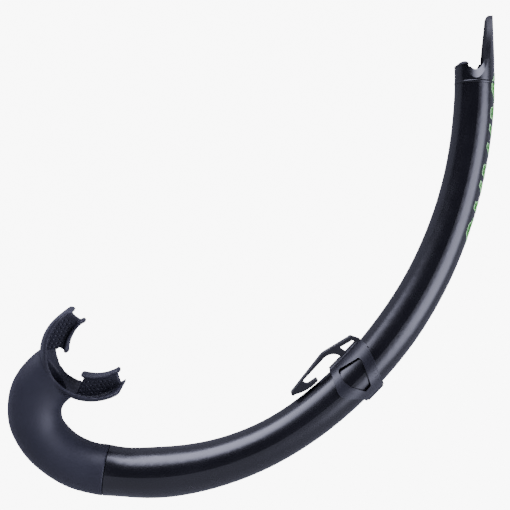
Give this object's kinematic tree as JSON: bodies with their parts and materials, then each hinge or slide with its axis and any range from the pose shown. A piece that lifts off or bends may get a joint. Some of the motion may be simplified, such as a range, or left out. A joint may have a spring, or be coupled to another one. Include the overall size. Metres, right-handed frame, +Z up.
{
  "type": "snorkel",
  "caption": "Curved swimming snorkel: tapered tube with a cut tip, soft elbow mouthpiece with bite tabs, and a sliding keeper with a mask strap hook.",
  "frame": {"origin": "centre of the bounding box in X and Y, at the lowest point in Z, with the snorkel lying on its side", "axes": "+X runs along the barrel at the keeper's rest position, towards the tip; +Y points to the inside of the curve, the side of the head; +Z is up, across the plane of the curve"},
  "size_m": [0.3932, 0.1726, 0.0436],
  "materials": {
    "barrel_plastic": "satin black moulded plastic",
    "sleeve_plastic": "matte black plastic",
    "silicone": "matte dark silicone",
    "keeper_plastic": "black nylon, fine grain",
    "hook_plastic": "smooth black plastic"
  },
  "bodies": {
    "barrel": {"barrel": "barrel_plastic", "coupling_sleeve": "sleeve_plastic"},
    "mouthpiece": {"mouthpiece": "silicone"},
    "keeper": {"keeper_collar": "keeper_plastic", "strap_hook": "hook_plastic"}
  },
  "joints": [
    {"name": "keeper_travel", "type": "hinge", "parent": "barrel", "child": "keeper", "pos_m": [-0.01826, 0.17694, 0.0155], "axis": [0, 0, 1], "range_deg": [-7.5, 12]},
    {"name": "mouthpiece_swivel", "type": "hinge", "parent": "barrel", "child": "mouthpiece", "pos_m": [-0.16858, -0.00071, 0.0155], "axis": [0.5892, -0.808, 0], "range_deg": [-49, 31]}
  ]
}
